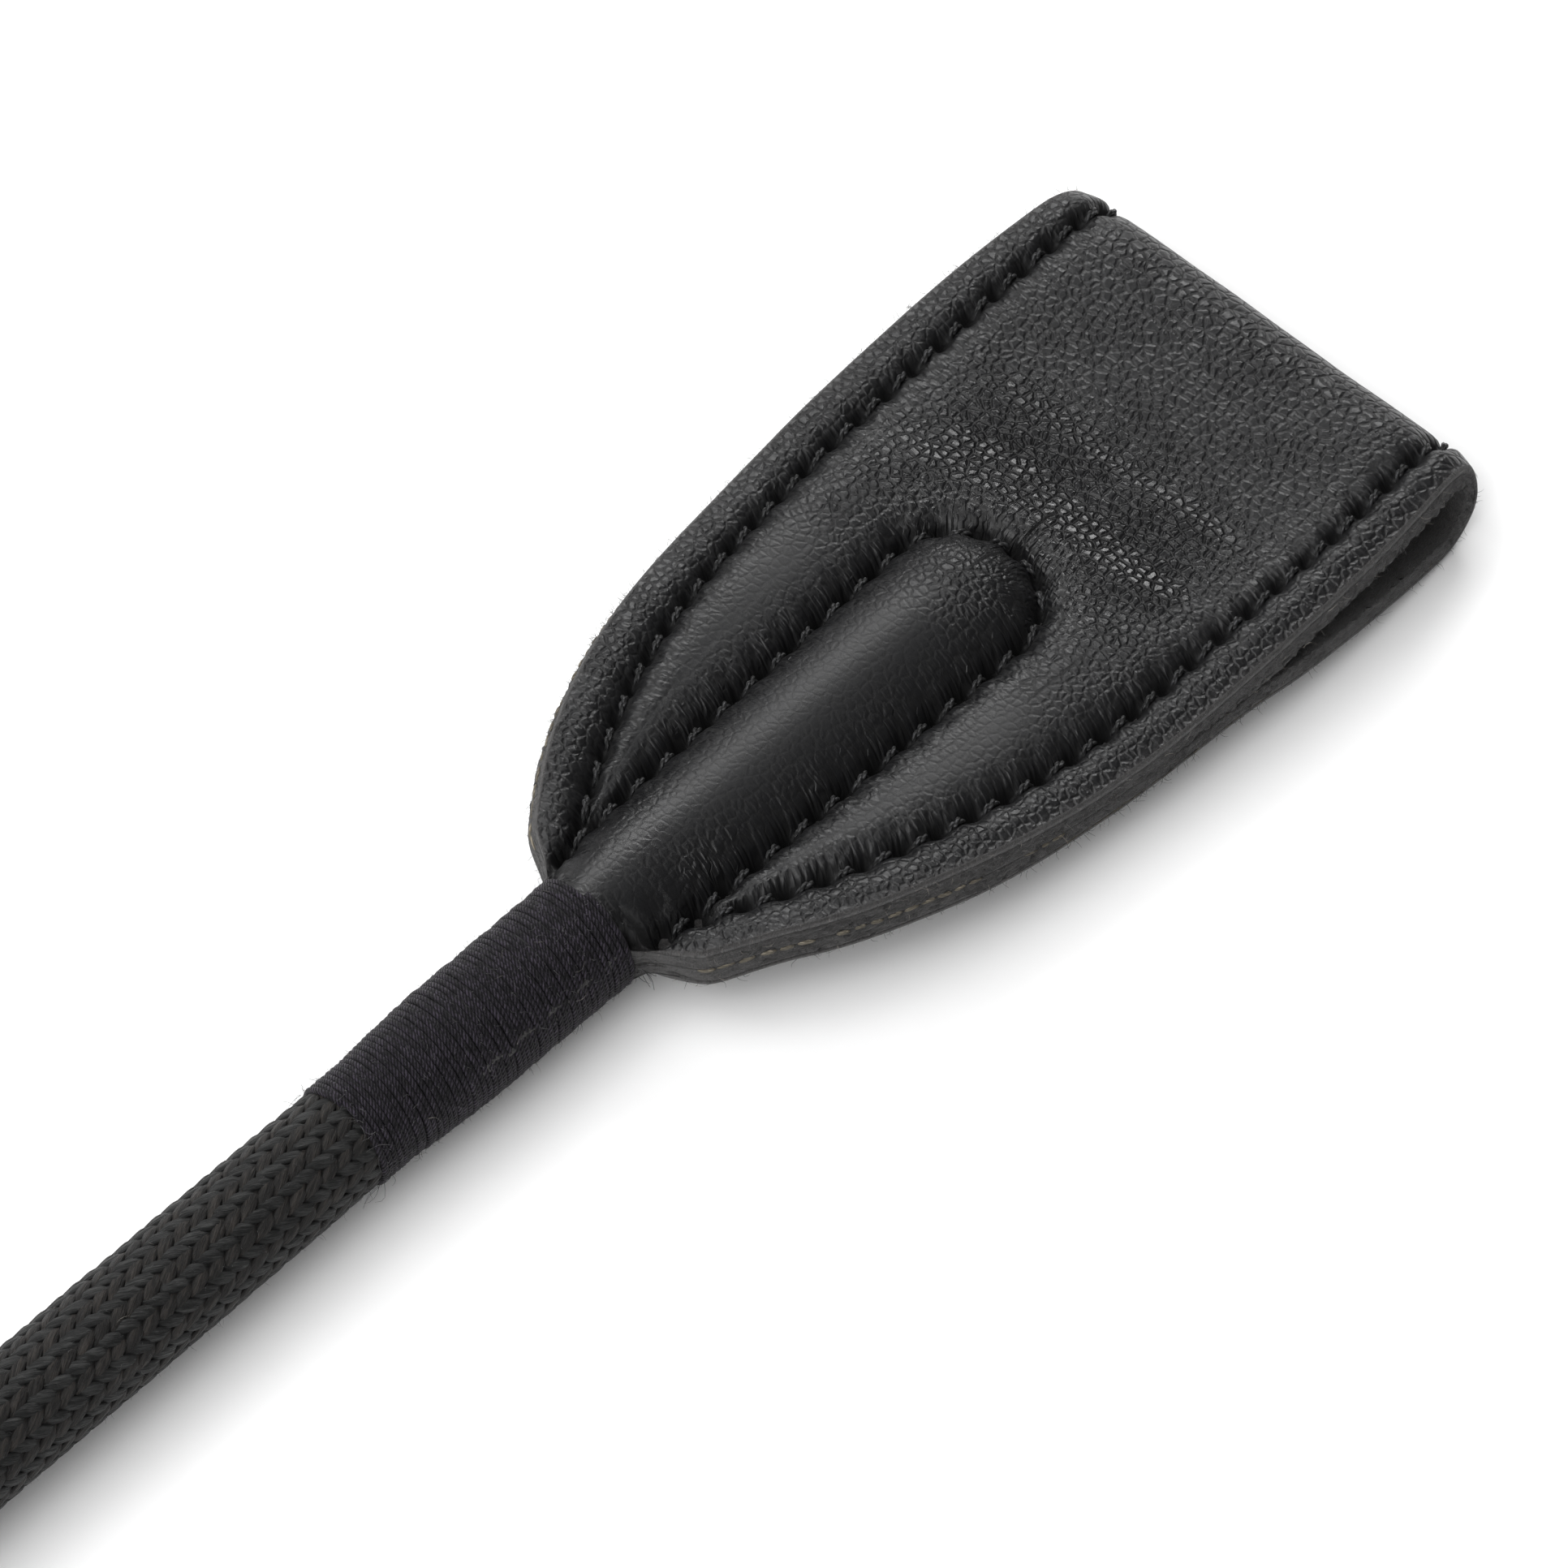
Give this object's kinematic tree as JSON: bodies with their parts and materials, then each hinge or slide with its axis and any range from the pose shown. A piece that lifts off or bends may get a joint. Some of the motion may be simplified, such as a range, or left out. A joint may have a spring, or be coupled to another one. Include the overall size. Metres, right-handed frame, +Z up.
{
  "type": "riding crop",
  "caption": "Riding crop with a folded, stitched leather flap, a thread-wound neck, a braided shaft, a covered grip and a swinging wrist loop.",
  "frame": {"origin": "middle of the crop's footprint, on the surface that it lies on", "axes": "+X along the crop from the wrist loop to the folded end of the flap, +Y across the flap, +Z up"},
  "size_m": [0.7832, 0.0544, 0.0233],
  "materials": {
    "rod": "satin glass fibre",
    "filler": "matt yarn",
    "braid": "matt braided yarn",
    "rod_cap": "matt",
    "whipping": "fine twisted thread",
    "leather": "pebbled grain with a soft sheen",
    "felt": "matt felt",
    "thread": "twisted thread",
    "grip_core": "raw",
    "cap": "satin",
    "steel": "satin",
    "brass": "satin"
  },
  "bodies": {
    "crop": {"core_rod": "rod", "filler_layer": "filler", "braided_sleeve": "braid", "rod_end_cap": "rod_cap", "tip_whipping": "whipping", "flap_top_skin": "leather", "flap_top_felt": "felt", "flap_bottom_skin": "leather", "flap_bottom_felt": "felt", "flap_channel_stitching": "thread", "flap_border_stitching": "thread", "grip_core": "grip_core", "grip_cover": "leather", "grip_seam_stitching": "thread", "grip_front_whipping": "whipping", "grip_rear_whipping": "whipping", "butt_cap": "cap", "strap_pin": "steel"},
    "flap_tip": {"flap_tip_skin": "leather", "flap_tip_felt": "felt", "flap_tip_stitching": "thread"},
    "wrist_loop": {"wrist_strap": "leather", "wrist_strap_lining": "felt", "wrist_strap_stitching": "thread", "wrist_strap_rivet": "brass"}
  },
  "joints": [
    {"name": "flap_bend", "type": "hinge", "parent": "crop", "child": "flap_tip", "pos_m": [0.36453, 0, 0.00518], "axis": [0, -1, 0], "range_deg": [-35, 35], "stiffness_Nm_per_rad": 0.3},
    {"name": "wrist_loop_swing", "type": "hinge", "parent": "crop", "child": "wrist_loop", "pos_m": [-0.24144, 0, 0.01173], "axis": [0.0108, 0, 0.9999], "range_deg": [-85, 85]}
  ]
}
